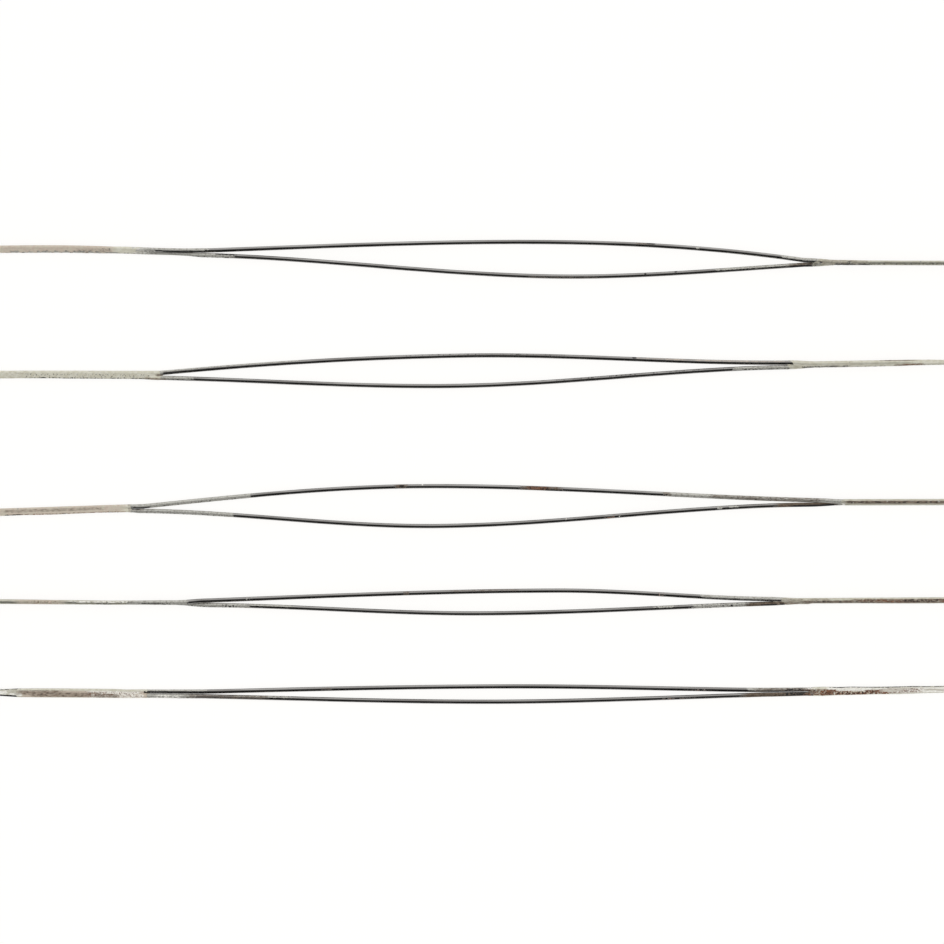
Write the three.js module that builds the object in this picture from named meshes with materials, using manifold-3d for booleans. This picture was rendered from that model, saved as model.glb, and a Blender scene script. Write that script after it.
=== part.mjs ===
import * as THREE from "three";
import Module from "manifold-3d";

// A set of five beading needles with long eyes, lying side by side. Each needle is two thin
// steel wires, soldered together in a tail at either end and ground there to a point. Between
// the tails nothing joins the wires, so they bow apart and are the eye.
// Millimetres. X runs along the needles, Y across them and Z up from the table.

const wasm = await Module();
wasm.setup();

// The set
const needleLength = 57; // from tip to tip
const rowSpacing = 5.93; // from one needle to the next

// Wire and solder
const wireDiameter = 0.235;
const wireGap = 0.015; // between the two wires of a tail
const solderCoat = 0.012; // solder over the outer sides of the wires
const solderFit = 0.004; // clearance between a wire and the solder round it
const solderInEye = 0.5; // how far the solder reaches into the eye, where the twist starts too

// Ground points
const nose = 1.2; // solid solder of a point, past the ends of the wires
const pointWidth = 0.07; // blunt end of a point, across the two wires
const pointThickness = 0.05; // the same, across one wire

// Bends and twists of the wires
const softBend = 1.2; // half the length over which a tail bends
const twistLength = 2.4; // along the needle, from flat to fully turned

// Faces
const wireSides = 8;
const bowSteps = 10; // from the solder to the crest of a bow
const turnPerSection = 15; // degrees of twist from one section to the next
const tailSteps = 2;
const pointSteps = 2;

// How each needle lies. off is how far the middle of its eye lies from its place in the row, turn
// the eye's angle in degrees, and crest each wire's highest place along the eye, from its middle.
// fullness says how soon a wire leaves its neighbour: 0 runs out of the tail in line with it, and
// 1 leaves it at an angle, as an arc. A tail has a length, the length of its ground point, a twist
// in degrees that lifts the upper wire over the lower one, and a drift sideways at its tip, or
// first at a kink on the way. The eye is what the two tails leave of the needle's length.
const needles = [
  {
    name: "needle_1",
    off: [1.52, -0.21],
    turn: -0.92,
    upper: { rise: 0.765, crest: 3.45, fullness: [0.66, 1.07] },
    lower: { rise: 0.855, crest: 2.65, fullness: [0.09, 0.63] },
    left: {
      length: 13.65,
      ground: 3.2,
      twist: 50,
      kinks: [{ after: 7.1, drift: 0.11 }],
      drift: -0.01,
    },
    right: { length: 10.7, ground: 3, twist: 88, kinks: [], drift: 0.15 },
  },
  {
    name: "needle_2",
    off: [-0.28, -0.41],
    turn: 0.96,
    upper: { rise: 0.68, crest: -0.45, fullness: [0.94, 0.14] },
    lower: { rise: 0.715, crest: -0.7, fullness: [0.44, 0] },
    left: { length: 11.45, ground: 2.7, twist: 0, kinks: [], drift: 0.22 },
    right: { length: 11.55, ground: 5, twist: 72, kinks: [], drift: 0 },
  },
  {
    name: "needle_3",
    off: [0, -1.85],
    turn: 0.55,
    upper: { rise: 0.955, crest: -3.3, fullness: [0.73, 0.38] },
    lower: { rise: 0.975, crest: -2.2, fullness: [0.17, 0] },
    left: {
      length: 10.4,
      ground: 3.2,
      twist: 0,
      kinks: [{ after: 1.55, drift: 0.01 }],
      drift: -0.19,
    },
    right: { length: 10.3, ground: 3.2, twist: 70, kinks: [], drift: -0.08 },
  },
  {
    name: "needle_4",
    off: [0.62, -1.18],
    turn: 0.15,
    upper: { rise: 0.49, crest: 3.8, fullness: [0.7, 0.2] },
    lower: { rise: 0.49, crest: -0.6, fullness: [0.17, 0.48] },
    left: { length: 14.1, ground: 2.6, twist: 85, kinks: [], drift: 0.12 },
    right: { length: 12.6, ground: 3, twist: 70, kinks: [], drift: 0.04 },
  },
  {
    name: "needle_5",
    off: [0.39, -0.22],
    turn: 0.17,
    upper: { rise: 0.24, crest: 1.35, fullness: [0.74, 0.37] },
    lower: { rise: 0.345, crest: 0.7, fullness: [0.55, 0.54] },
    left: { length: 13.35, ground: 3.7, twist: 0, kinks: [], drift: 0.13 },
    right: { length: 13.05, ground: 4.5, twist: 0, kinks: [], drift: 0.18 },
  },
];

const steel = new THREE.MeshStandardMaterial({ color: 0xa9a9a6, roughness: 0.22, metalness: 1 });
const solder = new THREE.MeshStandardMaterial({ color: 0xc2baa9, roughness: 0.5, metalness: 0.9 });

const { clamp, degToRad, lerp, smoothstep } = THREE.MathUtils;
const wireRadius = wireDiameter / 2;
const coatRadius = wireRadius + solderCoat;
const halfSpacing = (wireDiameter + wireGap) / 2;
const upward = 1;
const downward = -1;

// The eye's half length, which is also where each tail starts.
function eyeEnd(needle) {
  return (needleLength - needle.left.length - needle.right.length) / 2;
}

// Sideways drift of a tail at a distance past the end of the eye: straight runs, softly joined.
function tailDrift(tail, distance) {
  const knots = [{ after: 0, drift: 0 }, ...tail.kinks, { after: tail.length, drift: tail.drift }];
  let drift = 0;
  let slope = 0;
  for (let i = 1; i < knots.length; i += 1) {
    const run = knots[i].after - knots[i - 1].after;
    const next = (knots[i].drift - knots[i - 1].drift) / run;
    drift += (next - slope) * softRamp(distance - knots[i - 1].after);
    slope = next;
  }
  return drift;
}

// 0 before the bend and the distance itself past it, with a parabola between.
function softRamp(distance) {
  if (distance < -softBend) return 0;
  return distance > softBend ? distance : (distance + softBend) ** 2 / (4 * softBend);
}

// Angle by which the pair of wires is turned about the needle's axis.
function twistAt(needle, x) {
  const start = eyeEnd(needle) - solderInEye;
  const left = needle.left.twist * smoothstep(-x, start, start + twistLength);
  const right = needle.right.twist * smoothstep(x, start, start + twistLength);
  return degToRad(left + right);
}

// Height of the axis over the table: each tail rests on it, and the eye runs straight between.
function heightAt(needle, x) {
  const left = tailHeight(needle.left);
  const right = tailHeight(needle.right);
  return lerp(left, right, clamp((x / eyeEnd(needle) + 1) / 2, 0, 1));
}

function tailHeight(tail) {
  return halfSpacing * Math.sin(degToRad(tail.twist)) + coatRadius;
}

// How far a wire has bowed out at x: t runs from 0 at the tail to 1 at the crest, and the bow is
// a mix of 3tt - 2ttt, which starts in line with the tail, and 2t - tt, which starts at an angle.
function bowAt(needle, wire, x) {
  const before = x < wire.crest;
  const length = before ? wire.crest + eyeEnd(needle) : eyeEnd(needle) - wire.crest;
  const t = clamp((before ? x + eyeEnd(needle) : eyeEnd(needle) - x) / length, 0, 1);
  const full = wire.fullness[before ? 0 : 1];
  return wire.rise * lerp(t * t * (3 - 2 * t), t * (2 - t), full);
}

// Half width and half thickness left by the ground faces of a point, at x. Elsewhere they are
// those of the soldered pair.
function groundLimits(needle, x) {
  const left = (x + eyeEnd(needle) + needle.left.length) / needle.left.ground;
  const right = (eyeEnd(needle) + needle.right.length - x) / needle.right.ground;
  const whole = clamp(Math.min(left, right), 0, 1);
  return {
    width: lerp(pointWidth / 2, halfSpacing + coatRadius, whole),
    thickness: lerp(pointThickness / 2, coatRadius, whole),
  };
}

// Corners of the section at x round one wire, or round a layer over it. Each corner lies on a ray
// from the middle of what grinding leaves of the wire, where the ray meets the round of the layer
// or a ground face. Corners count anticlockwise, and corner 0 of the upper wire points outwards.
function sectionCorners(needle, side, x, layer, firstCorner, corners) {
  const limits = groundLimits(needle, x);
  const width = limits.width - solderCoat;
  const focus = (halfSpacing - wireRadius + Math.min(halfSpacing + wireRadius, width)) / 2;
  const offset = focus - halfSpacing;
  const radius = wireRadius + layer;
  return Array.from({ length: corners }, (_, i) => {
    const angle = (2 * Math.PI * (firstCorner + i)) / wireSides;
    const out = side * Math.cos(angle);
    const up = Math.sin(angle);
    const toRound = Math.sqrt(radius ** 2 - (offset * up) ** 2) - offset * out;
    const toSide = (width + layer - focus) / Math.max(out, Number.EPSILON);
    const toFlat = (limits.thickness - solderCoat + layer) / Math.max(Math.abs(up), Number.EPSILON);
    const ray = Math.min(toRound, toSide, toFlat);
    return placed(needle, side, x, focus + ray * out, ray * up);
  });
}

// A point of the section at x in space: out is measured from the axis towards the wire's own
// side, and up across the pair. The twist turns the pair and the bow carries the wire outwards.
function placed(needle, side, x, out, up) {
  const wire = side === upward ? needle.upper : needle.lower;
  const leftDrift = tailDrift(needle.left, -x - eyeEnd(needle));
  const rightDrift = tailDrift(needle.right, x - eyeEnd(needle));
  const twist = twistAt(needle, x);
  const along = side * out;
  const y = leftDrift + rightDrift + side * bowAt(needle, wire, x);
  return [
    x,
    y + along * Math.cos(twist) - up * Math.sin(twist),
    heightAt(needle, x) + along * Math.sin(twist) + up * Math.cos(twist),
  ];
}

// Section through one wire, and through the coat of solder drawn round both.
function wireRing(needle, side, x, layer) {
  return sectionCorners(needle, side, x, layer, 0, wireSides);
}

function coatRing(needle, x) {
  const quarter = wireSides / 4;
  return [
    ...sectionCorners(needle, upward, x, solderCoat, -quarter, 2 * quarter + 1),
    ...sectionCorners(needle, downward, x, solderCoat, quarter, 2 * quarter + 1),
  ];
}

// A closed skin over rings that lie one past the other along X.
function loft(rings) {
  const corners = rings[0].length;
  const last = (rings.length - 1) * corners;
  const index = [];
  for (let ring = 0; ring < last; ring += corners) {
    for (let i = 0; i < corners; i += 1) {
      const a = ring + i;
      const b = ring + ((i + 1) % corners);
      index.push(a, b, a + corners, b, b + corners, a + corners);
    }
  }
  for (let i = 1; i + 1 < corners; i += 1) {
    index.push(0, i + 1, i, last, last + i, last + i + 1);
  }
  return solid(new Float32Array(rings.flat(2)), new Uint32Array(index));
}

function solid(vertProperties, triVerts) {
  return new wasm.Manifold(new wasm.Mesh({ numProp: 3, vertProperties, triVerts }));
}

// Places from one x to another in equal steps, without the last.
function steps(from, to, count) {
  return Array.from({ length: count }, (_, i) => lerp(from, to, i / count));
}

// Places of the sections of one tail, from the eye out to the ends of the wires, as distances
// from the middle of the eye.
function tailPlaces(needle, tail) {
  const twistStart = eyeEnd(needle) - solderInEye;
  const twistEnd = twistStart + twistLength;
  const tip = eyeEnd(needle) + tail.length;
  const places = [
    ...steps(twistStart, twistEnd, 2 + Math.ceil(tail.twist / turnPerSection)),
    ...steps(twistEnd, tip - tail.ground, tailSteps),
    ...steps(tip - tail.ground, tip - nose, pointSteps),
    tip - nose,
  ];
  return places.sort((a, b) => a - b);
}

// The stretches of a wire from left to right, each as the places of its sections. The ends stay in
// the solder of the tails, and the bow between them has its own left and right part, so that
// nothing solid spans the eye. Where two stretches meet, they share a place.
function wireStretches(needle, wire) {
  const left = tailPlaces(needle, needle.left).map((x) => -x);
  const right = tailPlaces(needle, needle.right);
  return {
    left_end: left.reverse(),
    left_bow: [...steps(-right[0], wire.crest, bowSteps), wire.crest],
    right_bow: [...steps(wire.crest, right[0], bowSteps), right[0]],
    right_end: right,
  };
}

// A stretch of wire, or the same with a layer over it.
function wireSolid(needle, side, places, layer) {
  return loft(places.map((x) => wireRing(needle, side, x, layer)));
}

// Solder drawn over both wires of one tail, from its tip to a little way into the eye. toTip is
// 1 for the right tail and -1 for the left one.
function coatSolid(needle, tail, toTip) {
  const places = [...tailPlaces(needle, tail), eyeEnd(needle) + tail.length];
  const along = places.map((x) => toTip * x).sort((a, b) => a - b);
  return loft(along.map((x) => coatRing(needle, x)));
}

function mesh(name, manifold, material) {
  const { vertProperties, triVerts } = manifold.getMesh();
  const geometry = new THREE.BufferGeometry();
  geometry.setAttribute("position", new THREE.BufferAttribute(vertProperties, 3));
  geometry.setIndex(new THREE.BufferAttribute(triVerts, 1));
  geometry.computeVertexNormals();
  const piece = new THREE.Mesh(geometry, material);
  piece.name = name;
  return piece;
}

// One needle in its row: its two wires, and the solder of its two tails with the ground points.
function buildNeedle(needle, row) {
  const group = new THREE.Group();
  const channels = [];
  for (const [name, side] of [["upper", upward], ["lower", downward]]) {
    const stretches = wireStretches(needle, needle[name]);
    for (const [stretch, places] of Object.entries(stretches)) {
      const wire = wireSolid(needle, side, places, 0);
      group.add(mesh(`${needle.name}_${name}_${stretch}`, wire, steel));
    }
    const whole = [...new Set(Object.values(stretches).flat())];
    channels.push(wireSolid(needle, side, whole, solderFit));
  }
  for (const [name, toTip] of [["left", -1], ["right", 1]]) {
    const coat = coatSolid(needle, needle[name], toTip);
    const point = channels.reduce((rest, channel) => rest.subtract(channel), coat);
    group.add(mesh(`${needle.name}_${name}_point`, point, solder));
  }
  const middleRow = (needles.length - 1) / 2;
  group.position.set(needle.off[0], needle.off[1] + rowSpacing * (middleRow - row), 0);
  group.rotation.z = degToRad(needle.turn);
  return group;
}

// The set, with its origin under the middle of the space that it takes.
const set = new THREE.Group();
set.add(...needles.map(buildNeedle));
set.updateMatrixWorld(true);
const space = new THREE.Box3().setFromObject(set, true);
const middle = space.getCenter(new THREE.Vector3());
set.position.set(-middle.x, -middle.y, -space.min.z);

export default set;
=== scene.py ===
import math

import bpy
import numpy as np
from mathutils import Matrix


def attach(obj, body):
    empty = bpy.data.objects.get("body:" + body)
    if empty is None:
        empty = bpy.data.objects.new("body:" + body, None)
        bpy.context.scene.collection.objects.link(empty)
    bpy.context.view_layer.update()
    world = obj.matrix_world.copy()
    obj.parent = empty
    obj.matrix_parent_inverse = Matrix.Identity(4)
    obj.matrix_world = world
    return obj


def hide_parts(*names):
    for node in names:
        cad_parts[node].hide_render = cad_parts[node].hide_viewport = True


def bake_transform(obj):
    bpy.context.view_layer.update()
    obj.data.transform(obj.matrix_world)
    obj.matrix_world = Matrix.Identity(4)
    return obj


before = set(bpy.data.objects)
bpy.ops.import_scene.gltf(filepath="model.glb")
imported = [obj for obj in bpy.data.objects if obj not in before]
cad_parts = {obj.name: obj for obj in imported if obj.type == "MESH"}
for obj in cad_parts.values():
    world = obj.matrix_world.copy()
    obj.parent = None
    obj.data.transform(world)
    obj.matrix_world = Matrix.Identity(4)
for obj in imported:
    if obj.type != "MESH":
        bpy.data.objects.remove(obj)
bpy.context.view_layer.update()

mm = 0.001
tiny = 1e-9  # keeps a division from meeting 0
print("frame loaded:", len(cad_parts), "nodes")


# Camera, straight above the set as in the photograph
view = dict(
    imageWidth=944,  # pixels
    pixelSize=0.0545,  # mm in one pixel, at the height of the wires
    wireHeight=0.16,  # mm
    middle=(-0.232, -0.003),  # mm, the place under the middle of the image
    lens=120,  # mm
    sensor=36,  # mm
    clip=(0.001, 20),  # metres
)

seen = view["imageWidth"] * view["pixelSize"]
cameraHeight = seen / view["sensor"] * view["lens"] + view["wireHeight"]
cameraData = bpy.data.cameras.new("camera")
cameraData.lens = view["lens"]
cameraData.sensor_width = view["sensor"]
cameraData.clip_start, cameraData.clip_end = view["clip"]
camera = bpy.data.objects.new("camera", cameraData)
camera.location = (view["middle"][0] * mm, view["middle"][1] * mm, cameraHeight * mm)
bpy.context.scene.collection.objects.link(camera)
bpy.context.scene.camera = camera
bpy.context.scene.view_settings.view_transform = "Standard"
print("camera set")


# Sizes of the needles, in mm and degrees, as in the CAD model
wire = dict(diameter=0.235, gap=0.015)
tailShape = dict(
    coat=0.012,  # solder over the outer sides of the wires
    solderInEye=0.5,  # how far the solder reaches into the eye, where the twist starts too
    nose=1.2,  # from the end of the wires to the tip
    tipWidth=0.07,  # blunt end of a point, across the two wires
    tipThickness=0.05,
    softBend=1.2,  # half the length over which a bend is spread
    twistLength=2.4,  # along the needle, from flat to fully turned
)
layout = dict(
    needleLength=57, rowSpacing=5.93,
    outlineSteps=2000,  # steps in which a needle's outline is measured
)

wireRadius = wire["diameter"] / 2
coatRadius = wireRadius + tailShape["coat"]
halfSpacing = (wire["diameter"] + wire["gap"]) / 2

# A needle lies off its row's middle and turned. A bow has its rise, the place of its crest, and its
# fullness on the left and on the right: 0 leaves the tail softly, 1 at an angle, as an arc. A tail has its
# length, the length of its ground point, its twist, kinks as (distance past the eye, sideways there), and
# its drift sideways at the tip.
needles = {
    "needle_1": dict(
        off=(1.52, -0.21), turn=-0.92,
        upper=dict(rise=0.765, crest=3.45, fullness=(0.66, 1.07)),
        lower=dict(rise=0.855, crest=2.65, fullness=(0.09, 0.63)),
        left=dict(length=13.65, ground=3.2, twist=50, kinks=[(7.1, 0.11)], drift=-0.01),
        right=dict(length=10.7, ground=3, twist=88, kinks=[], drift=0.15),
    ),
    "needle_2": dict(
        off=(-0.28, -0.41), turn=0.96,
        upper=dict(rise=0.68, crest=-0.45, fullness=(0.94, 0.14)),
        lower=dict(rise=0.715, crest=-0.7, fullness=(0.44, 0)),
        left=dict(length=11.45, ground=2.7, twist=0, kinks=[], drift=0.22),
        right=dict(length=11.55, ground=5, twist=72, kinks=[], drift=0),
    ),
    "needle_3": dict(
        off=(0, -1.85), turn=0.55,
        upper=dict(rise=0.955, crest=-3.3, fullness=(0.73, 0.38)),
        lower=dict(rise=0.975, crest=-2.2, fullness=(0.17, 0)),
        left=dict(length=10.4, ground=3.2, twist=0, kinks=[(1.55, 0.01)], drift=-0.19),
        right=dict(length=10.3, ground=3.2, twist=70, kinks=[], drift=-0.08),
    ),
    "needle_4": dict(
        off=(0.62, -1.18), turn=0.15,
        upper=dict(rise=0.49, crest=3.8, fullness=(0.7, 0.2)),
        lower=dict(rise=0.49, crest=-0.6, fullness=(0.17, 0.48)),
        left=dict(length=14.1, ground=2.6, twist=85, kinks=[], drift=0.12),
        right=dict(length=12.6, ground=3, twist=70, kinks=[], drift=0.04),
    ),
    "needle_5": dict(
        off=(0.39, -0.22), turn=0.17,
        upper=dict(rise=0.24, crest=1.35, fullness=(0.74, 0.37)),
        lower=dict(rise=0.345, crest=0.7, fullness=(0.55, 0.54)),
        left=dict(length=13.35, ground=3.7, twist=0, kinks=[], drift=0.13),
        right=dict(length=13.05, ground=4.5, twist=0, kinks=[], drift=0.18),
    ),
}

# Filing is finer than the CAD model. Along a tail, in mm: (X of the set, what it leaves above and below the
# middle line in the view from above). 0.26 or more leaves the whole width.
filing = {
    "needle_1": dict(
        left=[
            (-25.5, 0.178, 0.21), (-24, 0.19, 0.22), (-22, 0.181, 0.215), (-20.6, 0.183, 0.2),
            (-19.8, 0.177, 0.168), (-19, 0.196, 0.162), (-18.2, 0.197, 0.172), (-17.4, 0.196, 0.184),
            (-16.5, 0.202, 0.178), (-15.7, 0.22, 0.195), (-14.9, 0.26, 0.26),
        ],
        right=[(19.5, 0.3, 0.3), (20.2, 0.135, 0.135), (21, 0.108, 0.13), (22.7, 0.098, 0.131)],
    ),
    "needle_2": dict(
        left=[
            (-25.5, 0.236, 0.174), (-24.7, 0.247, 0.162), (-23, 0.25, 0.162), (-22.3, 0.253, 0.175),
            (-19.8, 0.25, 0.18), (-19, 0.253, 0.185), (-18.2, 0.25, 0.197), (-17.3, 0.26, 0.26),
        ],
        right=[
            (20.5, 0.3, 0.3), (21.4, 0.17, 0.168), (22.2, 0.168, 0.156), (23, 0.163, 0.156),
            (23.8, 0.162, 0.134), (24.6, 0.154, 0.132),
        ],
    ),
    "needle_3": dict(
        left=[
            (-25.5, 0.216, 0.189), (-24.7, 0.215, 0.182), (-23.9, 0.217, 0.198), (-23, 0.217, 0.206),
            (-22.2, 0.22, 0.2), (-21.4, 0.216, 0.19), (-20.6, 0.221, 0.18), (-19.8, 0.226, 0.19),
            (-19, 0.238, 0.185), (-18.3, 0.26, 0.26),
        ],
    ),
    "needle_4": dict(
        left=[
            (-25.5, 0.13, 0.128), (-24.7, 0.12, 0.131), (-23.9, 0.112, 0.134), (-23.1, 0.098, 0.14),
            (-22, 0.1, 0.145), (-21.4, 0.091, 0.145), (-20.6, 0.081, 0.145), (-19.8, 0.077, 0.145),
            (-19, 0.088, 0.145), (-18.2, 0.113, 0.145), (-17.4, 0.132, 0.15), (-16.8, 0.3, 0.3),
        ],
        right=[
            (17.5, 0.3, 0.3), (18.3, 0.18, 0.132), (20.8, 0.18, 0.135), (21.6, 0.18, 0.142),
            (22.4, 0.18, 0.154), (24, 0.18, 0.164),
        ],
    ),
    "needle_5": dict(
        left=[
            (-25.5, 0.23, 0.239), (-24.7, 0.228, 0.236), (-23.9, 0.243, 0.242), (-22.3, 0.249, 0.238),
            (-20.6, 0.244, 0.236), (-19.8, 0.24, 0.243), (-19, 0.21, 0.248), (-18.2, 0.228, 0.228),
            (-16, 0.25, 0.25), (-15, 0.26, 0.26),
        ],
        right=[
            (15.8, 0.26, 0.26), (17.2, 0.24, 0.24), (18, 0.234, 0.23), (18.9, 0.25, 0.25),
            (19.7, 0.213, 0.218), (20.5, 0.226, 0.216), (21.3, 0.2, 0.207), (22.1, 0.19, 0.204),
            (23, 0.19, 0.212), (23.8, 0.2, 0.196), (24.6, 0.178, 0.178),
        ],
    ),
}


def eyeEnd(needle):
    # half the length that the two tails leave of the needle
    return (layout["needleLength"] - needle["left"]["length"] - needle["right"]["length"]) / 2


def smooth(value, low, high):
    # 3tt - 2ttt, with t going from 0 at low to 1 at high
    t = np.clip((value - low) / (high - low), 0, 1)
    return t * t * (3 - 2 * t)


def softRamp(distance):
    # 0 before a bend, the distance itself past it, and (d + b)(d + b) / 4b between
    b = tailShape["softBend"]
    return np.where(distance > b, distance, np.clip(distance + b, 0, None) ** 2 / (4 * b))


def tailDrift(tail, distance):
    # straight runs, each change of slope taken up by a soft ramp at its knot
    after = np.array([0] + [kink[0] for kink in tail["kinks"]] + [tail["length"]])
    drift = np.array([0] + [kink[1] for kink in tail["kinks"]] + [tail["drift"]])
    turns = np.diff(np.diff(drift) / np.diff(after), prepend=0)
    return sum(turn * softRamp(distance - knot) for turn, knot in zip(turns, after))


def twistAt(needle, x):
    # angle by which the pair of wires is turned about the needle's axis
    start = eyeEnd(needle) - tailShape["solderInEye"]
    end = start + tailShape["twistLength"]
    left = needle["left"]["twist"] * smooth(-x, start, end)
    right = needle["right"]["twist"] * smooth(x, start, end)
    return np.radians(left + right)


def heightAt(needle, x):
    # each tail rests on the table, and the eye runs straight from one to the other
    left, right = (math.sin(math.radians(needle[end]["twist"])) for end in ("left", "right"))
    left, right = halfSpacing * left + coatRadius, halfSpacing * right + coatRadius
    return left + (right - left) * np.clip((x / eyeEnd(needle) + 1) / 2, 0, 1)


def bowAt(needle, strand, x):
    # rise times a mix of 3tt - 2ttt and 2t - tt, with t from 0 at the tail to 1 at the crest
    before = x < strand["crest"]
    length = np.where(before, strand["crest"] + eyeEnd(needle), eyeEnd(needle) - strand["crest"])
    t = np.clip(np.where(before, x + eyeEnd(needle), eyeEnd(needle) - x) / length, 0, 1)
    full = np.where(before, *strand["fullness"])
    return strand["rise"] * ((1 - full) * t * t * (3 - 2 * t) + full * t * (2 - t))


def groundLimits(needle, x):
    # half width and half thickness that the ground faces leave of the soldered pair
    left = (x + eyeEnd(needle) + needle["left"]["length"]) / needle["left"]["ground"]
    right = (eyeEnd(needle) + needle["right"]["length"] - x) / needle["right"]["ground"]
    whole = np.clip(np.minimum(left, right), 0, 1)
    width = tailShape["tipWidth"] / 2 * (1 - whole) + (halfSpacing + coatRadius) * whole
    thickness = tailShape["tipThickness"] / 2 * (1 - whole) + coatRadius * whole
    return width, thickness


def inSet(needle, x, across, up, bow):
    # a point of the section at x, turned by the twist, carried by drift and bow, then by the needle's place
    row = list(needles.values()).index(needle)
    twist = twistAt(needle, x)
    drift = tailDrift(needle["left"], -x - eyeEnd(needle)) + tailDrift(needle["right"], x - eyeEnd(needle))
    y = drift + bow + across * np.cos(twist) - up * np.sin(twist)
    z = heightAt(needle, x) + across * np.sin(twist) + up * np.cos(twist)
    c, s = math.cos(math.radians(needle["turn"])), math.sin(math.radians(needle["turn"]))
    rowY = layout["rowSpacing"] * ((len(needles) - 1) / 2 - row)
    setX = needle["off"][0] + x * c - y * s
    setY = needle["off"][1] + rowY + x * s + y * c
    return np.stack(np.broadcast_arrays(setX, setY, z), axis=-1)


def toNeedleX(needle, setX):
    # the place along a needle that lies at an X of the set
    return (np.asarray(setX, float) - needle["off"][0]) / math.cos(math.radians(needle["turn"]))


def fileSides(name, x, across, up, margin):
    # cut the section upright at its sides as it lies: turn it by its twist, cut it, and turn it back
    needle = needles[name]
    c, s = np.cos(twistAt(needle, x)), np.sin(twistAt(needle, x))
    side, height = across * c - up * s, across * s + up * c
    for cuts in filing[name].values():
        place, above, below = np.array(cuts).T
        place = toNeedleX(needle, place)
        side = np.clip(side, margin - np.interp(x, place, below), np.interp(x, place, above) - margin)
    return side * c + height * s, height * c - side * s


def setShift():
    # the CAD model has its origin under the middle of its box, over the tips and the sides of the bows
    low, high = np.full(2, np.inf), np.full(2, -np.inf)
    for needle in needles.values():
        tips = -eyeEnd(needle) - needle["left"]["length"], eyeEnd(needle) + needle["right"]["length"]
        x = np.linspace(*tips, layout["outlineSteps"])
        for sign, side in ((1, "upper"), (-1, "lower")):
            edge = np.minimum(halfSpacing + wireRadius, groundLimits(needle, x)[0])
            outline = inSet(needle, x, sign * edge, 0, sign * bowAt(needle, needle[side], x))[:, :2]
            low, high = np.minimum(low, outline.min(0)), np.maximum(high, outline.max(0))
    return np.append(-(low + high) / 2, 0)


shift = setShift()
print("shift of the set, mm:", shift)


# Surfaces. Uneven fields are sums of waves: how many, the shortest as a share of the longest, and the most
# turns that one makes around the piece
unevenness = dict(waves=8, shortest=0.35, mostTurns=3)


def lumps(x, angle, size, seed):
    # a smooth uneven field about -1 to 1: sine waves along and around the piece, no wave longer than size
    random = np.random.default_rng(seed)
    field = 0
    for _ in range(unevenness["waves"]):
        length = size * random.uniform(unevenness["shortest"], 1)
        turns = random.integers(-unevenness["mostTurns"], unevenness["mostTurns"] + 1)
        field = field + np.sin(2 * np.pi * (x / length + random.uniform(0, 1)) + turns * angle)
    return field / (unevenness["waves"] / 2)


def dents(x, angle, places, radius):
    # one gaussian hollow for each place (x, angle, size, depth); radius turns an angle into a length
    hollow = 0
    for place, turn, size, depth in places:
        around = (angle - turn + np.pi) % (2 * np.pi) - np.pi
        hollow = hollow + depth * np.exp(-((x - place) ** 2 + (around * radius) ** 2) / size ** 2)
    return hollow


def ringAngles(count):
    return (2 * np.pi * np.arange(count) / count)[None, :]


def addObject(name, mesh):
    piece = bpy.data.objects.new(name, mesh)
    bpy.context.scene.collection.objects.link(piece)
    return piece


def skin(name, rings, marks):
    # rings (ring, corner, xyz in mm) joined by quads, closed by a fan with a sharp rim at either end
    count, corners = rings.shape[:2]
    points = np.concatenate([rings.reshape(-1, 3), rings[0].mean(0)[None], rings[-1].mean(0)[None]])
    points = (points + shift) * mm
    ring, corner = np.meshgrid(np.arange(count - 1), np.arange(corners), indexing="ij")
    a = (ring * corners + corner).ravel()
    b = (ring * corners + (corner + 1) % corners).ravel()
    quads = np.stack([a, b, b + corners, a + corners], axis=1)
    edge = np.arange(corners)
    nextEdge = (edge + 1) % corners
    lastRing = (count - 1) * corners
    first, last = count * corners, count * corners + 1
    start = np.stack([np.full(corners, first), nextEdge, edge], axis=1)
    end = np.stack([np.full(corners, last), edge + lastRing, nextEdge + lastRing], axis=1)
    mesh = bpy.data.meshes.new(name)
    mesh.from_pydata(points.tolist(), [], quads.tolist() + start.tolist() + end.tolist())
    mesh.polygons.foreach_set("use_smooth", np.arange(len(mesh.polygons)) < len(quads))
    lines = np.empty(len(mesh.edges) * 2, int)
    mesh.edges.foreach_get("vertices", lines)
    lines = lines.reshape(-1, 2) // corners
    rim = (lines[:, 0] == lines[:, 1]) & np.isin(lines[:, 0], (0, count - 1))
    mesh.edges.foreach_set("use_edge_sharp", rim)
    for mark, values in marks.items():
        values = np.broadcast_to(values, (count, corners)).reshape(-1)
        values = np.concatenate([values, [values[0], values[-1]]]).astype(np.float32)
        mesh.attributes.new(mark, "FLOAT", "POINT").data.foreach_set("value", values)
    mesh.validate()
    return addObject(name, mesh)


def seenAcross(rings):
    # place across a ring as seen from above: -1 at its -Y edge and 1 at its +Y edge
    y = rings[..., 1]
    low, high = y.min(1, keepdims=True), y.max(1, keepdims=True)
    return (2 * y - low - high) / (high - low)


# A stain fades at its ends over fade, in mm, or over a share of its length if that is less, and at its
# sides from the inner to the outer share of its half breadth
# the dark kind holds dark spots and notches, and painted shade along the lower edges and between the
# strands
stainKinds = ("smear", "warm", "paleAndHighlight", "brown", "rust", "darkSpotsAndShade")
stainEdge = dict(fade=0.5, share=0.3, inner=0.65, outer=1.3)


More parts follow.
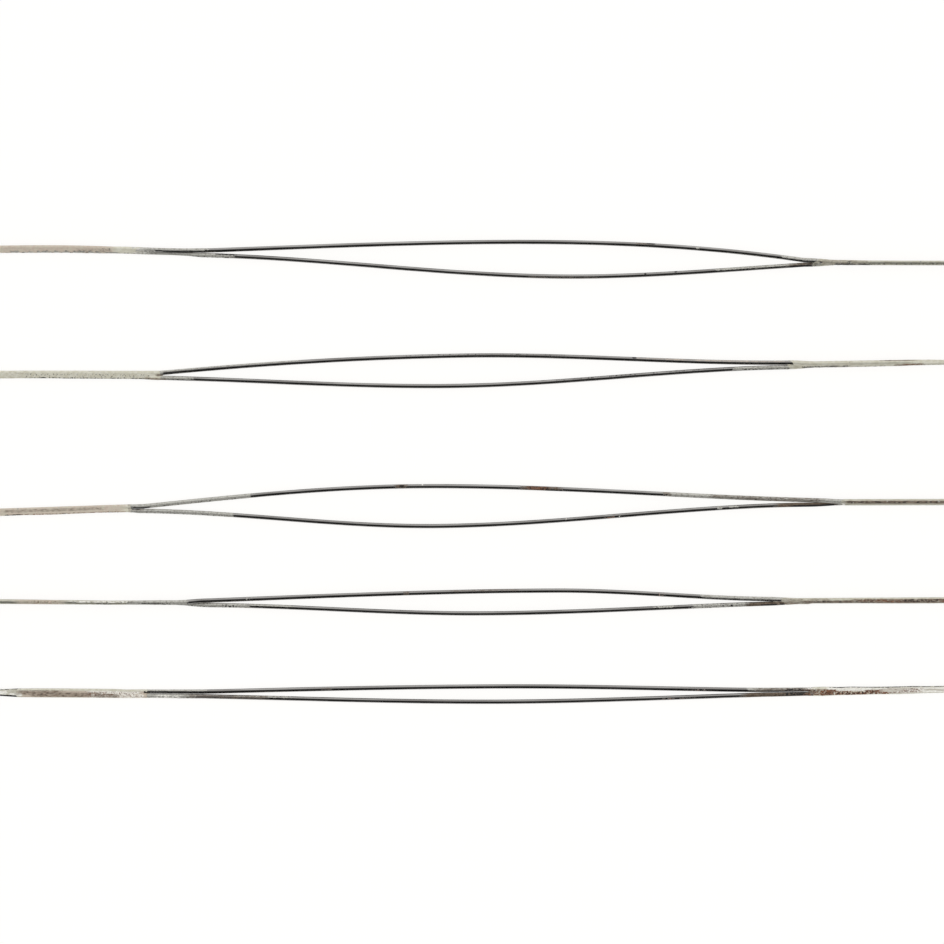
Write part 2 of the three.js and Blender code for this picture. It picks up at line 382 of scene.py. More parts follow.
def addMarks(needle, x, across, stains):
    # for each kind, the strongest of its stains at every point
    marks = {kind: np.zeros(across.shape) for kind in stainKinds}
    for kind, spots in stains.items():
        for low, high, middle, half, strength in spots:
            low, high = toNeedleX(needle, low), toNeedleX(needle, high)
            fade = min(stainEdge["fade"], stainEdge["share"] * (high - low))
            along = smooth(x, low - fade, low + fade) * (1 - smooth(x, high - fade, high + fade))
            inner, outer = stainEdge["inner"] * half, stainEdge["outer"] * half
            beside = 1 - smooth(np.abs(across - middle), inner, outer)
            marks[kind] = np.maximum(marks[kind], strength * along * beside)
    return marks


# Wires: two halves each, from inside a tail to the crest of the bow
wireShape = dict(
    step=0.06, sides=32,  # of the mesh, along in mm and around
    smear=0.005, smearEven=0.7, smearUneven=0.5,  # its thickness, and the even and uneven shares of that
    smearLumps=0.9,  # length over which it is uneven
    waver=0.0006, waverLumps=3,  # how uneven the drawn wire is, and over what length
    unground=1e-6,  # shift of the wire's middle under which grinding has left the wire whole
)


def wireSection(needle, x, angle, extra):
    # rays from the middle of what grinding leaves of the wire, to its round, its side face or its flat face
    width, thickness = (limit - tailShape["coat"] for limit in groundLimits(needle, x))
    focus = (halfSpacing - wireRadius + np.minimum(halfSpacing + wireRadius, width)) / 2
    offset = focus - halfSpacing
    out, up = np.cos(angle), np.sin(angle)
    toRound = np.sqrt(wireRadius ** 2 - (offset * up) ** 2) - offset * out + extra
    toSide = (width - focus) / np.maximum(out, tiny)
    toFlat = thickness / np.maximum(np.abs(up), tiny)
    ray = np.minimum(toRound, np.minimum(toSide, toFlat))
    ray = np.where(np.abs(offset) < wireShape["unground"], toRound, ray)
    return focus + ray * out, ray * up


def axisPoint(needle, x):
    # a point of the needle's axis, in metres, with the set shifted
    return (inSet(needle, np.array([[x]]), 0, 0, 0)[0, 0] + shift) * mm


def makeWireHalf(name, side, end, stains):
    needle = needles[name]
    sign = 1 if side == "upper" else -1
    tip = eyeEnd(needle) + needle[end]["length"] - tailShape["nose"]
    crest = needle[side]["crest"]
    low, high = (-tip, crest) if end == "left" else (crest, tip)
    x = np.linspace(low, high, int((high - low) / wireShape["step"]) + 2)[:, None]
    angle = ringAngles(wireShape["sides"])
    seed = sum(map(ord, name + side + end))
    across = sign * np.cos(angle + sign * twistAt(needle, x))
    marks = addMarks(needle, x, across, stains)
    uneven = wireShape["smearUneven"] * lumps(x, angle, wireShape["smearLumps"], seed)
    extra = wireShape["smear"] * marks["smear"] * (wireShape["smearEven"] + uneven)
    extra = extra + wireShape["waver"] * lumps(x, angle, wireShape["waverLumps"], seed + 1)
    out, up = wireSection(needle, x, angle, extra)
    out, up = fileSides(name, x, sign * out, up, tailShape["coat"])
    rings = inSet(needle, x, out, up, sign * bowAt(needle, needle[side], x))
    if sign < 0:
        rings = rings[:, ::-1]
        marks = {kind: values[:, ::-1] for kind, values in marks.items()}
    piece = skin(f"{name}_{side}_wire_{end}", rings, marks)
    start = (-1 if end == "left" else 1) * (eyeEnd(needle) - tailShape["solderInEye"])
    low, high = axisPoint(needle, start), axisPoint(needle, crest)
    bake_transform(piece)
    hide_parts(f"{name}_{side}_{end}_end", f"{name}_{side}_{end}_bow")
    return piece


# Solder of a tail, with its ground point. Pits have their number and the limits of their turn around the
# tail, in radians, and of their size and depth, in mm
solderShape = dict(
    step=0.04, corners=64,  # of the mesh, along in mm and around
    ragged=0.3,  # how far its end wanders, where the finish doesn't say
    raggedLumps=0.8,  # length over which it wanders
    sunk=0.012,  # how far it lies below the round of the wires where it ends
    groove=0.35,  # share of its height that is left between the wires where it ends
    grooveLength=0.6,  # how far the groove runs on where the solder is whole
    grain=0.003, grainLumps=0.5,
    pits=dict(count=60, turns=(-0.5, 3.6), sizes=(0.03, 0.09), depths=(0.004, 0.012)),
    edgePits=dict(count=70, turns=(-0.5, 0.25), sizes=(0.04, 0.08), depths=(0.02, 0.05)),
    pitRadius=1.5,  # of the coat's radius, where a pit's turn counts as a length
    pitShadeFrom=0.01, pitShadeOver=0.03,  # depth where painted shade in a pit starts, and how far on till it is dark
    pitShadeMost=0.85,  # strength of that painted shade
)


def drawPits(random, pits, sign, low, high, turn):
    # (x, angle, size, depth) of each pit, drawn evenly between their limits
    return [
        (sign * random.uniform(low, high), turn + random.uniform(*pits["turns"]),
         random.uniform(*pits["sizes"]), random.uniform(*pits["depths"]))
        for _ in range(pits["count"])]


def makeSolder(name, end, finish):
    needle = needles[name]
    sign = -1 if end == "left" else 1
    tip = eyeEnd(needle) + needle[end]["length"]
    shows, bare = finish["wiresShow"]
    inner = eyeEnd(needle) + bare
    along = np.linspace(inner, tip, int((tip - inner) / solderShape["step"]) + 2)
    x = np.sort(sign * along)[:, None]
    angle = ringAngles(solderShape["corners"])
    depth = sign * x - eyeEnd(needle)  # distance past the end of the eye
    seed = sum(map(ord, name + end))

    # the outline over the two wires, with a groove between them where the solder ends
    ragged = finish.get("ragged", solderShape["ragged"]) * lumps(x, angle, solderShape["raggedLumps"], seed)
    cover = smooth(depth + ragged, bare, shows)
    radius = wireRadius - solderShape["sunk"] + (solderShape["sunk"] + tailShape["coat"]) * cover
    across = (halfSpacing + coatRadius) * np.cos(angle)
    beside = np.clip(np.abs(across) - halfSpacing, -halfSpacing, None)
    up = np.sqrt(np.clip(radius ** 2 - beside ** 2, 0, None))
    groove = smooth(depth, bare, shows + solderShape["grooveLength"])
    level = radius * (solderShape["groove"] + (1 - solderShape["groove"]) * groove)
    up = np.where(np.abs(across) < halfSpacing, np.maximum(up, level), up)
    across = np.sign(across) * np.minimum(np.abs(across), halfSpacing + radius)
    up = up * np.sign(np.sin(angle)) * (np.abs(np.sin(angle)) > tiny)

    # small pits all over, and deeper ones along the edge that lies lower in the view from above
    random = np.random.default_rng(seed)
    pits = drawPits(random, solderShape["pits"], sign, inner, tip, 0)
    if "edgePits" in finish:
        low, high = toNeedleX(needle, finish["edgePits"])
        lowerEdge = np.pi - math.radians(needle[end]["twist"])
        pits = pits + drawPits(random, solderShape["edgePits"], 1, low, high, lowerEdge)
    hollow = dents(x, angle, pits, coatRadius * solderShape["pitRadius"]) * cover
    grain = solderShape["grain"] * lumps(x, angle, solderShape["grainLumps"], seed + 2) * cover
    across = across + (grain - hollow) * np.cos(angle)
    up = up + (grain - hollow) * np.sin(angle)

    width, thickness = groundLimits(needle, x)
    across, up = np.clip(across, -width, width), np.clip(up, -thickness, thickness)
    across, up = fileSides(name, x, across, up, 0)
    bow = np.where(across > 0, bowAt(needle, needle["upper"], x), -bowAt(needle, needle["lower"], x))
    rings = inSet(needle, x, across, up, bow)
    rings[..., 2] = np.maximum(rings[..., 2], 0)
    marks = addMarks(needle, x, seenAcross(rings), finish["stains"])
    # pits are painted darker the deeper they are: painted shade in the pits, laid into the dark marks
    pitShade = (hollow - solderShape["pitShadeFrom"]) / solderShape["pitShadeOver"]
    marks["darkSpotsAndShade"] = np.maximum(marks["darkSpotsAndShade"], np.clip(pitShade, 0, solderShape["pitShadeMost"]))
    marks["sheen"] = finish["sheen"]
    piece = skin(f"{name}_{end}_solder", rings, marks)
    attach(piece, name)
    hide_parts(f"{name}_{end}_point")
    return piece


# What each needle shows. A stain is (from X, to X, middle across, half breadth, strength), with X of the
# set in mm and 1 across at the +Y edge. wiresShow is how far past the end of the eye the solder is whole,
# and where it ends; ragged is how far its end wanders; sheen is how metallic it looks; edgePits are the X
# between which its lower edge is pitted. The dark stains are partly dark spots and notches and partly
# painted shade: dark lines along the -Y edges of wires and tails, and dark near the V's where the strands
# part.
# The bright stains are partly pale solder and ground facets and partly painted highlights: small glints,
# sparkle, and a lit band along the upper half of a tail.
finishes = {
    "needle_1": dict(
        upper=dict(
            smear=[
                (-30, -17.4, 0, 2, 1), (-17.8, -14.6, 0.6, 0.9, 1), (11.95, 12.15, 0.2, 0.6, 1),
                (16.4, 30, 0.45, 0.8, 0.85),
            ],
            paleAndHighlight=[(-19.5, -17.8, 0.1, 0.8, 0.62)],
            brown=[(8.6, 9.7, 0.5, 0.5, 0.7)],
            darkSpotsAndShade=[
                (-18.5, -17.2, -0.85, 0.2, 0.62), (-17.2, -14.6, -0.75, 0.45, 0.9),
                (9.2, 9.8, 0.7, 0.4, 0.9), (16.8, 18.5, -0.85, 0.35, 0.9),
            ],
        ),
        lower=dict(
            smear=[(-30, -13.2, 0, 2, 1), (12.9, 18.4, 0.45, 0.7, 0.8), (18.5, 30, 0, 2, 1)],
            paleAndHighlight=[(-19.5, -17.6, 0.1, 0.8, 0.62)],
            brown=[(2.6, 7, -0.5, 0.7, 0.62), (16.9, 18.5, 0.3, 0.6, 0.9)],
            darkSpotsAndShade=[
                (-14.4, -12.9, 0.6, 0.45, 0.85), (-16, -13.1, -0.85, 0.3, 0.7), (9.1, 9.3, 0.2, 0.5, 0.9),
                (10.8, 10.95, 0.6, 0.4, 1), (16.8, 18.6, -0.5, 0.5, 0.9),
            ],
        ),
        left=dict(wiresShow=(4.2, 3.0), sheen=0.35, edgePits=(-25.5, -19.5), stains=dict(
            warm=[(-30, -19.6, 0, 2, 0.8)],
            brown=[(-22, -19.6, -0.3, 0.5, 0.56)],
            darkSpotsAndShade=[(-20.6, -19.7, 0, 0.5, 0.6), (-26, -16, -0.95, 0.2, 0.62)],
        )),
        right=dict(wiresShow=(1.1, 0.3), sheen=0.85, stains=dict(
            paleAndHighlight=[(18, 18.7, 0.4, 0.5, 0.6)],
            brown=[(18.4, 21.5, 0, 1, 0.66)],
            darkSpotsAndShade=[(21.3, 30, -0.7, 0.4, 0.6), (19.2, 21.8, -0.75, 0.4, 0.76), (20.1, 20.6, 0, 0.7, 0.6)],
        )),
    ),
    "needle_2": dict(
        upper=dict(
            smear=[(-30, -17, 0.3, 0.9, 1), (-17.6, -9.5, 0.85, 0.5, 0.9), (17.4, 30, 0, 2, 1)],
            warm=[(8.5, 17, 0.6, 0.5, 0.6)],
            darkSpotsAndShade=[(-17.2, -16.4, -0.8, 0.5, 0.9), (-5, 5.5, 0.35, 0.5, 0.56), (8.45, 8.75, 0.6, 0.4, 0.9)],
        ),
        lower=dict(
            smear=[(-30, -15.4, 0.25, 0.85, 0.95), (13.9, 30, 0, 0.9, 0.85)],
            brown=[(-17.6, -16.8, -0.7, 0.4, 0.9)],
            darkSpotsAndShade=[(-16.9, -15.4, -0.7, 0.4, 0.7), (4, 14, 0.4, 0.5, 0.57), (14.2, 17.4, -0.5, 0.5, 0.64)],
        ),
        left=dict(wiresShow=(0.05, -0.2), ragged=0.08, sheen=0.4, edgePits=(-24, -18), stains=dict(
            brown=[(-18.2, -16.8, -0.85, 0.35, 0.85), (-17.5, -17, 0, 0.3, 0.9), (-25.9, -24, 0, 2, 0.45)],
            darkSpotsAndShade=[(-25, -17.5, -0.3, 0.7, 0.54), (-25, -17.5, -0.95, 0.2, 0.66)],
        )),
        right=dict(wiresShow=(0.5, 0.2), sheen=0.5, stains=dict(
            brown=[(21.9, 24, 0.9, 0.25, 0.95)],
            rust=[(22.6, 24.6, -0.75, 0.4, 0.75)],
            darkSpotsAndShade=[(17.4, 20.6, -0.8, 0.35, 0.7), (19, 30, -0.95, 0.2, 0.62)],
        )),
    ),
    "needle_3": dict(
        upper=dict(
            smear=[(-30, -12.1, 0, 2, 0.95), (10.1, 30, 0.15, 2, 0.85)],
            paleAndHighlight=[(-3, -2.85, 0.6, 0.5, 0.72)],
            brown=[
                (2.3, 4.8, 0, 1, 0.95), (-4.5, -3.7, 0.1, 0.9, 0.9), (10.1, 10.7, 0, 1, 0.75),
                (12.5, 19, 0, 1, 0.7),
            ],
            rust=[(2.6, 4.2, 0, 1, 0.78)],
            darkSpotsAndShade=[
                (-18.9, -17.7, -0.75, 0.5, 1), (-17.4, -12.5, -0.7, 0.5, 0.55), (2.6, 4.4, 0, 1, 0.6),
                (3.6, 4.9, -0.7, 0.5, 0.8), (-4.2, -3.9, 0.1, 0.6, 0.9), (10.3, 10.5, -0.3, 0.5, 0.8),
                (13, 19, 0, 1, 0.54),
            ],
        ),
        lower=dict(
            smear=[
                (-30, -13.1, 0, 2, 0.95), (13.1, 13.4, 0.2, 0.7, 1.1), (13.7, 14.3, 0.3, 0.5, 0.85),
                (19.7, 30, 0, 2, 1),
            ],
            paleAndHighlight=[(4.85, 4.95, 0.3, 0.5, 0.8), (7.75, 7.85, -0.3, 0.4, 0.74)],
            brown=[(-18.9, -18, 0.75, 0.6, 0.7), (16.2, 19.7, 0, 1, 1.1)],
            rust=[(6.9, 7.7, -0.5, 0.5, 0.62)],
            darkSpotsAndShade=[
                (-18.2, -13.5, -0.8, 0.4, 0.62), (-18.8, -18.3, 0.9, 0.4, 1), (17, 19.7, -0.5, 0.6, 0.88),
            ],
        ),
        left=dict(wiresShow=(0.72, 0.62), ragged=0.03, sheen=0.35, edgePits=(-22.5, -19), stains=dict(
            warm=[(-30, -19, 0, 2, 0.75)],
            brown=[(-26, -20.1, 0.15, 0.45, 0.7), (-19, -18.8, 0, 2, 0.65)],
            rust=[(-25.7, -18.9, -0.9, 0.25, 0.66)],
            darkSpotsAndShade=[(-25.9, -24.6, -0.95, 0.3, 0.75)],
        )),
        right=dict(wiresShow=(2, 1.5), ragged=0.15, sheen=0.75, stains=dict(
            paleAndHighlight=[(19.65, 20.1, -0.7, 0.5, 1.1)],
            brown=[(19.9, 30, 0, 0.6, 0.95)],
            darkSpotsAndShade=[(19.7, 30, 0, 0.4, 0.62)],
        )),
    ),
    "needle_4": dict(
        upper=dict(
            smear=[(-30, -15.6, 0, 2, 1), (-12.6, -11.9, 0.2, 0.8, 0.62), (12.1, 30, 0.45, 0.75, 0.9)],
            brown=[(-4, -3.6, 0, 1, 0.8), (-1.6, 2.6, 0.6, 0.8, 0.62)],
            rust=[(9.8, 10.4, 0, 0.9, 0.6)],
            darkSpotsAndShade=[(-18.6, -16.3, -0.6, 0.35, 0.73), (12.2, 15.9, -0.7, 0.4, 0.75)],
        ),
        lower=dict(
            smear=[
                (-30, -12.3, 0, 2, 1), (-12.6, -9.8, 0.65, 0.65, 0.85), (9.6, 11, 0.55, 0.65, 0.8),
                (11.5, 15, 0, 2, 0.74),
            ],
            brown=[(14.6, 17.5, -0.2, 1, 1.1)],
            darkSpotsAndShade=[
                (-14, -12.9, -0.3, 0.9, 0.66), (-18, -14, -0.9, 0.3, 0.75), (11.7, 14.9, 0, 1.2, 0.53),
                (15.4, 17.6, -0.6, 0.5, 0.88),
            ],
        ),
        left=dict(wiresShow=(5, 4), sheen=0.88, stains=dict(
            warm=[(-25.2, -22.3, 0, 2, 0.7)],
            paleAndHighlight=[(-22.3, -17.5, 0.45, 0.5, 0.74)],
            rust=[(-24.6, -22.5, 0, 0.8, 0.6)],
            darkSpotsAndShade=[(-20.8, -19.7, -0.6, 0.3, 0.78)],
        )),
        right=dict(wiresShow=(1.4, 0.4), sheen=0.6, stains=dict(
            brown=[
                (15.8, 18, -0.5, 0.5, 0.9), (16, 19.5, 0, 0.9, 0.7), (17.4, 20.9, -0.4, 0.5, 0.95),
                (19.5, 30, -0.3, 0.6, 0.85), (20.3, 30, -0.15, 0.8, 0.9),
            ],
            rust=[(20.6, 30, -0.1, 0.8, 0.66)],
            darkSpotsAndShade=[(17.4, 22, -0.5, 0.5, 0.6), (22.8, 25.4, 0, 0.6, 0.66)],
        )),
    ),
    "needle_5": dict(
        upper=dict(
            smear=[(-18.2, -14.5, 0.8, 0.6, 0.9), (14.6, 17.9, 0.45, 0.7, 0.95)],
            paleAndHighlight=[(0.85, 0.95, 0, 0.5, 0.7), (17.6, 18.8, 0.4, 0.7, 0.75)],
            brown=[(-8.5, -7.8, -0.2, 0.9, 0.7), (15, 18.4, 0, 1, 0.75)],
            rust=[(11.2, 12.8, -0.4, 0.6, 0.6), (17.4, 18.8, -0.5, 0.6, 0.7)],
            darkSpotsAndShade=[(-17.8, -17.2, -0.3, 0.5, 0.7), (16.6, 18, -0.3, 1, 0.72), (15.5, 18.6, -0.8, 0.5, 0.75)],
        ),
        lower=dict(
            smear=[(-30, -15.2, 0, 2, 1), (-13.4, -9.8, 0.65, 0.7, 0.75), (14.4, 17.9, 0, 2, 0.7)],
            paleAndHighlight=[(-17.8, -15.8, 0, 0.9, 0.64)],
            brown=[(-15.9, -11.2, 0.1, 1, 0.72), (14.4, 18.4, -0.1, 1.2, 1.05)],
            rust=[(9.8, 12.2, -0.5, 0.5, 0.58), (17.4, 18.8, -0.2, 0.8, 0.7)],
            darkSpotsAndShade=[(-17.2, -15.1, -0.9, 0.3, 0.6), (16.5, 18.2, 0.2, 1, 0.74)],
        ),
        left=dict(wiresShow=(3.2, 2.9), sheen=0.45, stains=dict(
            warm=[(-25, -17.8, -0.25, 0.85, 1)],
            paleAndHighlight=[
                (-21.4, -18, -0.2, 0.9, 0.79), (-30, -25.3, 0.05, 0.75, 0.79),
                (-25.6, -24.6, -0.4, 0.4, 0.79),
            ],
            brown=[
                (-25.2, -23.6, 0.1, 0.6, 0.8), (-24.4, -22.4, -0.1, 0.85, 0.85),
                (-23.2, -20.3, -0.35, 0.6, 0.82), (-21, -19.3, -0.5, 0.5, 0.85),
            ],
            rust=[(-21.6, -18, -0.2, 0.8, 0.6)],
            darkSpotsAndShade=[(-30, -24.9, -0.9, 0.4, 1), (-30, -24.6, 1, 0.2, 0.75)],
        )),
        right=dict(wiresShow=(3.0, 2.4), sheen=0.35, stains=dict(
            paleAndHighlight=[(18.9, 21.9, 0.45, 0.6, 0.86), (21.6, 30, 0, 0.85, 0.95)],
            brown=[(17.5, 19, -0.1, 0.8, 0.8), (22, 24.2, 0, 0.9, 0.6)],
            rust=[
                (17.8, 22.6, -0.35, 0.55, 0.7), (18.5, 19.8, -0.2, 0.8, 0.84),
                (19.1, 21.7, -0.6, 0.4, 0.82), (21, 22.7, -0.3, 0.7, 0.82), (21.8, 24.6, -0.1, 0.8, 0.64),
            ],
            darkSpotsAndShade=[(18.6, 22, -0.5, 0.4, 0.6), (19, 30, 1, 0.2, 0.75)],
        )),
    ),
}

wirePieces = []
solderPieces = []
for name in needles:
    for end in ("left", "right"):
        for side in ("upper", "lower"):
            wirePieces.append(makeWireHalf(name, side, end, finishes[name][side]))
        solderPieces.append(makeSolder(name, end, finishes[name][end]))
    print(name, "made")


# Materials. Colours are linear, and the heights of lines and grain are in metres. A Tone gives the levels
# of a noise between which one colour goes over into the other.
metal = dict(
    steel=(0.63, 0.615, 0.59), steelDark=(0.36, 0.345, 0.325), steelTone=(0.3, 0.7),
    steelRough=(0.06, 0.13), steelLines=2e-6, steelMetallic=1.0,
    smear=(0.68, 0.67, 0.61), smearDark=(0.46, 0.44, 0.39), smearTone=(0.48, 0.66), smearCover=(1.05, 1.2),
    smearRough=0.38, smearMetallic=0.6, smearGrain=5,  # its grain against the height of the wire's lines
    solder=(0.74, 0.71, 0.57), solderPale=(0.84, 0.82, 0.7), solderTone=(0.4, 0.62),
    solderRough=(0.36, 0.5), solderGrain=1.5e-5,
    facet=(0.8, 0.9),  # strength of a bright mark at which it is a ground facet
    grindingLines=(0.6, 0.57, 0.49), grindingTone=(0.5, 0.6), grindingDepth=0.6, grindingSlant=0.9,
    stainTone=(0.35, 0.65), filmOnSteel=0.6, filmOnSolder=0.1,  # how metallic a brown film looks on each
)

# Noises: scale per metre, detail, and how far each is drawn out along the needle (1 is not at all)
noises = dict(
    patches=(5000, 4, 1), speckle=(11000, 2, 1), tone=(8000, 3, 1), streaks=(12000, 3, 0.35),
    wireLines=(30000, 2, 0.02), wireTone=(9000, 2, 0.02), grinding=(9000, 2, 0.1),
)

# Stains, later ones over earlier ones: the noise that breaks one up, the sums of mark and noise between
# which it goes from nothing to whole, and how far its shade wanders
stainLooks = dict(
    warm=dict(colour=(0.66, 0.56, 0.46), noise="patches", cover=(0.9, 1.4), rough=0.5, metallic=0.3,
              wander=0.05),
    # pale solder and ground facets, and painted highlights: glints, sparkle and a lit band on a tail's
    # upper half
    paleAndHighlight=dict(colour=(0.95, 0.9, 0.82), noise="speckle", cover=(1.05, 1.25), rough=0.3, metallic=0.15,
                wander=0.12),
    brown=dict(colour=(0.2, 0.15, 0.11), noise="streaks", cover=(0.95, 1.45), rough=0.45, wander=0.35),
    rust=dict(colour=(0.16, 0.065, 0.028), noise="speckle", cover=(1.05, 1.3), rough=0.8, metallic=0.0,
              wander=0.45),
    # dark spots and notches, and painted shade: dark lines along the -Y edges of wires and tails, and near
    # the V's
    darkSpotsAndShade=dict(colour=(0.025, 0.022, 0.02), noise="speckle", cover=(1.1, 1.25), rough=0.6, metallic=0.1,
              wander=0.3),
)


def addNode(tree, kind, inputs=None, **settings):
    made = tree.nodes.new(kind)
    for setting, value in settings.items():
        setattr(made, setting, value)
    for socket, value in (inputs or {}).items():
        if isinstance(value, bpy.types.NodeSocket):
            tree.links.new(value, made.inputs[socket])
        else:
            made.inputs[socket].default_value = value
    return made


def newMaterial(name):
    material = bpy.data.materials.new(name)
    material.use_nodes = True
    material.node_tree.nodes.clear()
    return material, material.node_tree


def mixColours(tree, share, first, second):
    inputs = {0: share, 6: first, 7: second}
    for socket in (6, 7):
        if not isinstance(inputs[socket], bpy.types.NodeSocket):
            inputs[socket] = (*inputs[socket], 1)
    return addNode(tree, "ShaderNodeMix", inputs, data_type="RGBA").outputs[2]


def mixValues(tree, share, first, second):
    return addNode(tree, "ShaderNodeMix", {0: share, 2: first, 3: second}).outputs[0]


def steps(tree, value, low, high):
    # 0 below low and 1 above high
    made = addNode(tree, "ShaderNodeMapRange", {"Value": value, "From Min": low, "From Max": high})
    return made.outputs["Result"]


def maths(tree, operation, first, second):
    return addNode(tree, "ShaderNodeMath", {0: first, 1: second}, operation=operation).outputs[0]


def noise(tree, place, kind, slant=0):
    scale, detail, along = noises[kind]
    if along != 1:
        inputs = {"Vector": place, "Rotation": (0, 0, slant), "Scale": (along, 1, 1)}
        place = addNode(tree, "ShaderNodeMapping", inputs).outputs[0]
    made = addNode(tree, "ShaderNodeTexNoise", {"Vector": place, "Scale": scale, "Detail": detail})
    return made.outputs["Fac"]


def markOf(tree, kind):
    return addNode(tree, "ShaderNodeAttribute", attribute_name=kind).outputs["Fac"]


def addStains(tree, place, look, filmMetallic):
    # each kind covers what its mark and its noise together lift over a level
    colour, rough, metallic = look
    tone = steps(tree, noise(tree, place, "tone"), *metal["stainTone"])
    for kind in stainKinds[1:]:
        stain = stainLooks[kind]
        lifted = maths(tree, "ADD", markOf(tree, kind), noise(tree, place, stain["noise"]))
        share = steps(tree, lifted, *stain["cover"])
        wander = stain["wander"]
        shades = [[min(1, part * (1 + side)) for part in stain["colour"]] for side in (-wander, wander)]
        colour = mixColours(tree, share, colour, mixColours(tree, tone, *shades))
        rough = mixValues(tree, share, rough, stain["rough"])
        metallic = mixValues(tree, share, metallic, stain.get("metallic", filmMetallic))
    return colour, rough, metallic


def finishMaterial(tree, look, height, distance):
    colour, rough, metallic = look
    bump = addNode(tree, "ShaderNodeBump", {"Height": height, "Distance": distance})
    shader = addNode(tree, "ShaderNodeBsdfPrincipled", {
        "Base Color": colour, "Roughness": rough, "Metallic": metallic, "Normal": bump.outputs[0]})
    addNode(tree, "ShaderNodeOutputMaterial", {"Surface": shader.outputs[0]})


def makeSteel():
    # drawn steel wire, with lines along it, thin smears of solder and stains
    material, tree = newMaterial("needleSteel")
    place = addNode(tree, "ShaderNodeTexCoord").outputs["Object"]
    speckle = noise(tree, place, "speckle")
    lines = noise(tree, place, "wireLines")
    lifted = maths(tree, "ADD", markOf(tree, "smear"), noise(tree, place, "patches"))
    smear = steps(tree, lifted, *metal["smearCover"])
    film = mixColours(tree, steps(tree, speckle, *metal["smearTone"]), metal["smear"], metal["smearDark"])
    tone = steps(tree, noise(tree, place, "wireTone"), *metal["steelTone"])
    colour = mixColours(tree, smear, mixColours(tree, tone, metal["steel"], metal["steelDark"]), film)
    rough = mixValues(tree, smear, mixValues(tree, lines, *metal["steelRough"]), metal["smearRough"])
    metallic = mixValues(tree, smear, metal["steelMetallic"], metal["smearMetallic"])
    look = addStains(tree, place, (colour, rough, metallic), metal["filmOnSteel"])
    height = mixValues(tree, smear, lines, maths(tree, "MULTIPLY", speckle, metal["smearGrain"]))
    finishMaterial(tree, look, height, metal["steelLines"])
    return material


def makeSolderFinish():
    # dull grained solder with stains, and grinding lines across the bright facets
    material, tree = newMaterial("needleSolder")
    place = addNode(tree, "ShaderNodeTexCoord").outputs["Object"]
    patches = noise(tree, place, "patches")
    speckle = noise(tree, place, "speckle")
    grinding = noise(tree, place, "grinding", metal["grindingSlant"])
    tone = steps(tree, patches, *metal["solderTone"])
    colour = mixColours(tree, tone, metal["solder"], metal["solderPale"])
    rough = mixValues(tree, patches, *metal["solderRough"])
    look = addStains(tree, place, (colour, rough, markOf(tree, "sheen")), metal["filmOnSolder"])
    facet = steps(tree, markOf(tree, "paleAndHighlight"), *metal["facet"])
    lines = maths(tree, "MULTIPLY", facet, steps(tree, grinding, *metal["grindingTone"]))
    look = mixColours(tree, lines, look[0], metal["grindingLines"]), *look[1:]
    height = mixValues(tree, facet, speckle, maths(tree, "MULTIPLY", grinding, metal["grindingDepth"]))
    finishMaterial(tree, look, height, metal["solderGrain"])
    return material


for pieces, material in ((wirePieces, makeSteel()), (solderPieces, makeSolderFinish())):
    for piece in pieces:
        piece.data.materials.append(material)
print("materials made")


# Floor, light and the dark screen that the lower sides of the wires mirror; lengths in metres
studio = dict(
    floorSize=3, floorBelow=1e-6, floorColour=0.12,
    floorGlow=(0.9, 0.892, 0.875),  # as the camera sees the floor
    floorInRoom=0.5,  # as the floor lights the set and as the metal mirrors it
    screenRadius=0.4, screenWidth=1.6, screenColour=0.02, screenSteps=48,
    screenFrom=-89, screenTo=89,  # degrees from the zenith, towards +Y
    screenOverhead=0.9, screenFar=0.12,  # how dense it is above the set, and at its +Y edge
    screenMost=0.997,  # how dense it is at most
)


def grey(value):
    return value, value, value, 1


def addStagePiece(name, points, faces, material):
    mesh = bpy.data.meshes.new(name)
    mesh.from_pydata(points, [], faces)
    mesh.materials.append(material)
    return addObject(name, mesh)


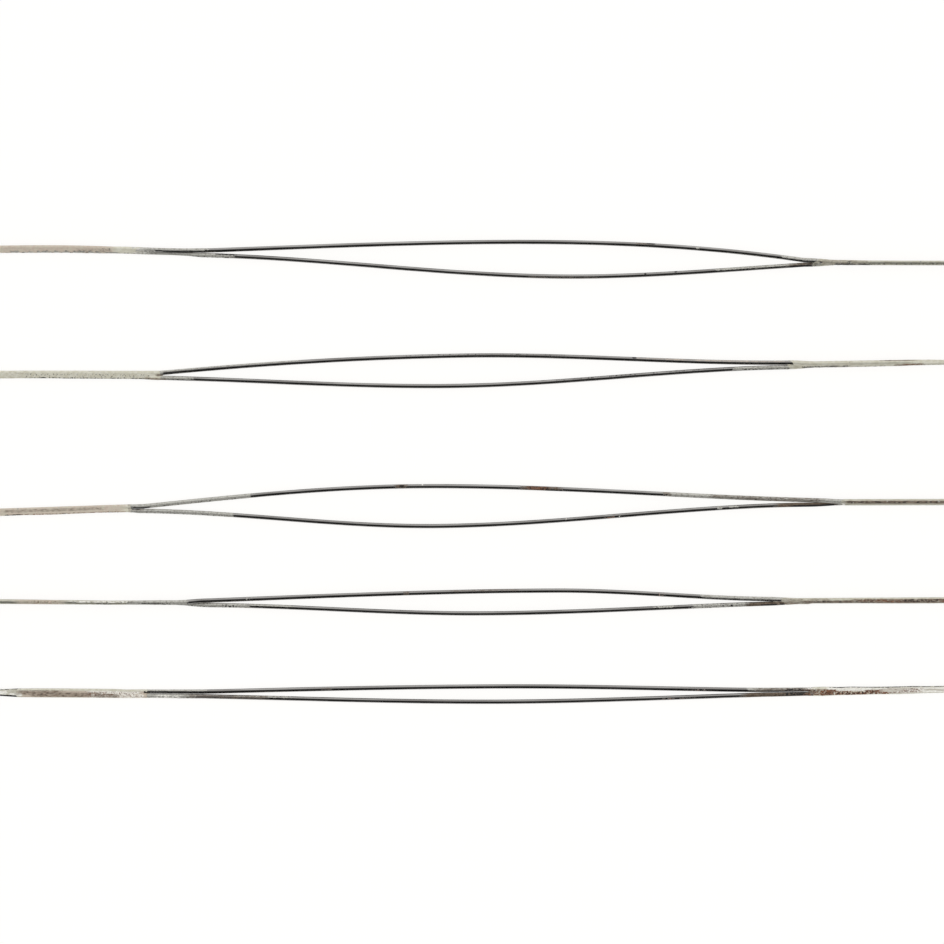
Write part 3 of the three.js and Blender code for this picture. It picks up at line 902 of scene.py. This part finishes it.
def makeFloor():
    material, tree = newMaterial("paleFloor")
    path = addNode(tree, "ShaderNodeLightPath").outputs
    pale = addNode(tree, "ShaderNodeBsdfDiffuse", {"Color": grey(studio["floorColour"])})
    glow = addNode(tree, "ShaderNodeEmission", {"Color": (*studio["floorGlow"], 1)})
    white = addNode(tree, "ShaderNodeAddShader", {0: pale.outputs[0], 1: glow.outputs[0]})
    inRoom = addNode(tree, "ShaderNodeBsdfDiffuse", {"Color": grey(studio["floorInRoom"])})
    both = addNode(tree, "ShaderNodeMixShader", {
        0: path["Is Camera Ray"], 1: inRoom.outputs[0], 2: white.outputs[0]})
    addNode(tree, "ShaderNodeOutputMaterial", {"Surface": both.outputs[0]})
    size, z = studio["floorSize"] / 2, -studio["floorBelow"]
    points = [(-size, -size, z), (size, -size, z), (size, size, z), (-size, size, z)]
    floor = addStagePiece("floor", points, [(0, 1, 2, 3)], material)


def makeScreen():
    # part of a cylinder along X, from one horizon over the zenith to the other: nearly black on the -Y
    # side, and thinner towards +Y; only reflections see it
    material, tree = newMaterial("gradedBlack")
    place = addNode(tree, "ShaderNodeTexCoord").outputs["Object"]
    y = addNode(tree, "ShaderNodeSeparateXYZ", {"Vector": place}).outputs["Y"]
    density = addNode(tree, "ShaderNodeMapRange", {
        "Value": y, "From Min": 0.0, "From Max": studio["screenRadius"],
        "To Min": studio["screenOverhead"], "To Max": studio["screenFar"]}, clamp=False).outputs["Result"]
    density = maths(tree, "MINIMUM", density, studio["screenMost"])
    black = addNode(tree, "ShaderNodeBsdfDiffuse", {"Color": grey(studio["screenColour"])})
    clear = addNode(tree, "ShaderNodeBsdfTransparent")
    both = addNode(tree, "ShaderNodeMixShader", {0: density, 1: clear.outputs[0], 2: black.outputs[0]})
    addNode(tree, "ShaderNodeOutputMaterial", {"Surface": both.outputs[0]})
    angle = np.radians(np.linspace(studio["screenFrom"], studio["screenTo"], studio["screenSteps"]))
    half = studio["screenWidth"] / 2
    y, z = studio["screenRadius"] * np.sin(angle), studio["screenRadius"] * np.cos(angle)
    points = [(s * half, b, c) for b, c in zip(y, z) for s in (-1, 1)]
    faces = [(2 * i, 2 * i + 1, 2 * i + 3, 2 * i + 2) for i in range(len(angle) - 1)]
    screen = addStagePiece("darkScreen", points, faces, material)
    for kindOfRay in ("camera", "diffuse", "shadow"):
        setattr(screen, f"visible_{kindOfRay}", False)


def makeRoom():
    world = bpy.data.worlds.new("room")
    bpy.context.scene.world = world
    world.use_nodes = True
    world.cycles.sampling_method = "NONE"
    tree = world.node_tree
    tree.nodes.clear()
    background = addNode(tree, "ShaderNodeBackground", {"Strength": 1, "Color": grey(1)})
    addNode(tree, "ShaderNodeOutputWorld", {"Surface": background.outputs[0]})


makeFloor()
makeScreen()
makeRoom()
print("studio made")
